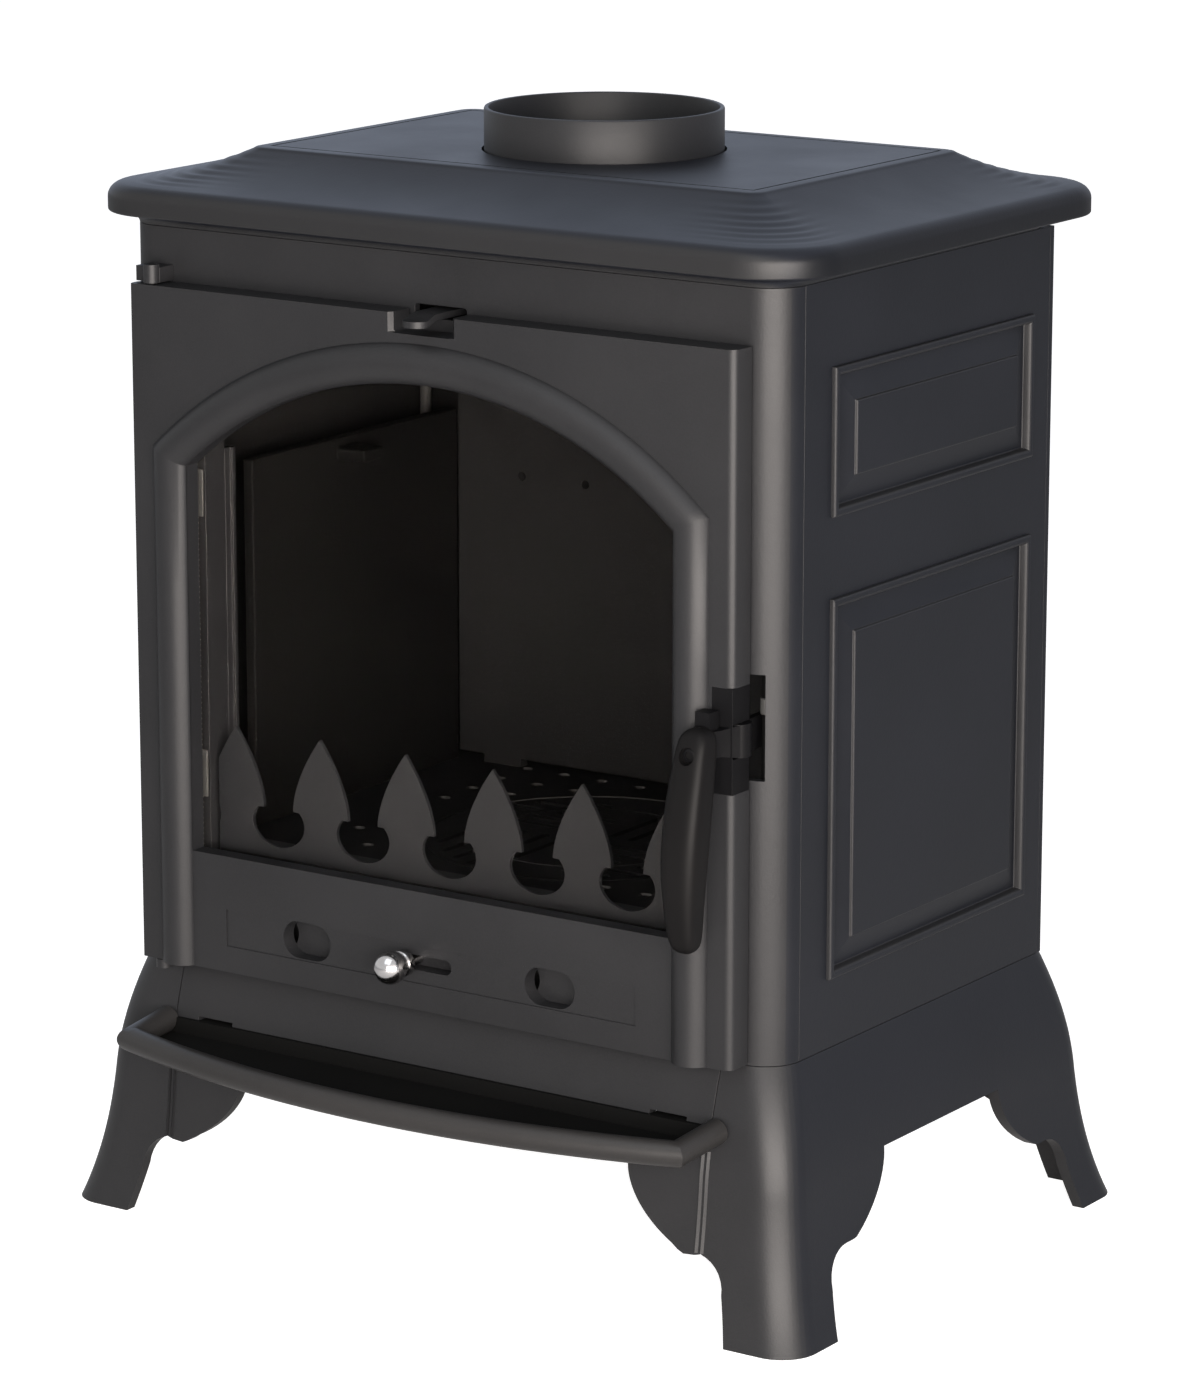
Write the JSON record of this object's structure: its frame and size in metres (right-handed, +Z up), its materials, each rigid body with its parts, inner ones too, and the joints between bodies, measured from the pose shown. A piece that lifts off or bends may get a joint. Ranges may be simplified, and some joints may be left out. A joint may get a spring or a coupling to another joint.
{
  "type": "wood stove",
  "caption": "Rectangular free-standing cast-iron wood stove on flared cabriole legs, with an arched glazed door, moulded top plate, round flue collar and bowed ash shelf.",
  "frame": {"origin": "bottom centre of the bounding box, on the hearth", "axes": "+Z up, the door faces -Y, +X is to the right for someone facing the door"},
  "size_m": [0.557, 0.4585, 0.7065],
  "materials": {
    "casting_front": "matt heat paint",
    "casting_side": "matt heat paint",
    "casting_top": "matt heat paint",
    "raw_iron": "raw, heat-stained",
    "guard_iron": "raw, light grey",
    "zinc": "zinc plated",
    "chrome": "polished",
    "latch_black": "matt",
    "grip_black": "satin",
    "glass": "clear ceramic glass, slightly amber",
    "rope": "woven glass fibre"
  },
  "bodies": {
    "root": {"base_side_left": "casting_side", "base_side_right": "casting_side", "base_front": "casting_front", "base_rear": "casting_front", "base_bolts": "zinc", "bottom_plate": "raw_iron", "front_panel": "casting_front", "side_panel_left": "casting_side", "side_panel_right": "casting_side", "rear_panel": "casting_front", "tie_rods": "zinc", "top_plate": "casting_top", "flue_collar": "casting_front", "collar_bolts": "zinc", "firebox_floor": "raw_iron", "round_grate": "raw_iron", "liner_left": "raw_iron", "liner_right": "raw_iron", "liner_rear": "raw_iron", "baffle": "raw_iron", "baffle_rails": "raw_iron", "log_guard": "guard_iron", "ash_pan": "raw_iron", "ash_shelf": "casting_top", "air_channel": "raw_iron", "hinge_bracket_top": "casting_front", "hinge_bracket_bottom": "casting_front", "hinge_pins": "zinc", "latch_keeper": "zinc"},
    "door": {"door": "casting_front", "door_arch": "casting_front", "door_glass": "glass", "glass_rope": "rope", "door_rope": "rope", "glass_clips": "zinc", "slide_rails": "casting_front", "latch_bracket": "latch_black", "latch_pin": "zinc"},
    "handle": {"latch_lever": "latch_black", "grip": "grip_black", "grip_screw": "zinc"},
    "air_slide": {"air_slide": "casting_front", "air_knob": "chrome"},
    "airwash": {"airwash_lever": "casting_front", "airwash_shutter": "casting_front"}
  },
  "joints": [
    {"name": "door_hinge", "type": "hinge", "parent": "root", "child": "door", "pos_m": [-0.2095, -0.15055, 0.3845], "axis": [0, 0, -1], "range_deg": [0, 110]},
    {"name": "handle_swing", "type": "hinge", "parent": "door", "child": "handle", "pos_m": [0.2195, -0.14425, 0.369], "axis": [0, 0, 1], "range_deg": [0, 30]},
    {"name": "air_slide_travel", "type": "slide", "parent": "door", "child": "air_slide", "axis": [1, 0, 0], "range_m": [0, 0.028]},
    {"name": "airwash_travel", "type": "slide", "parent": "root", "child": "airwash", "axis": [1, 0, 0], "range_m": [-0.01, 0.01]}
  ]
}
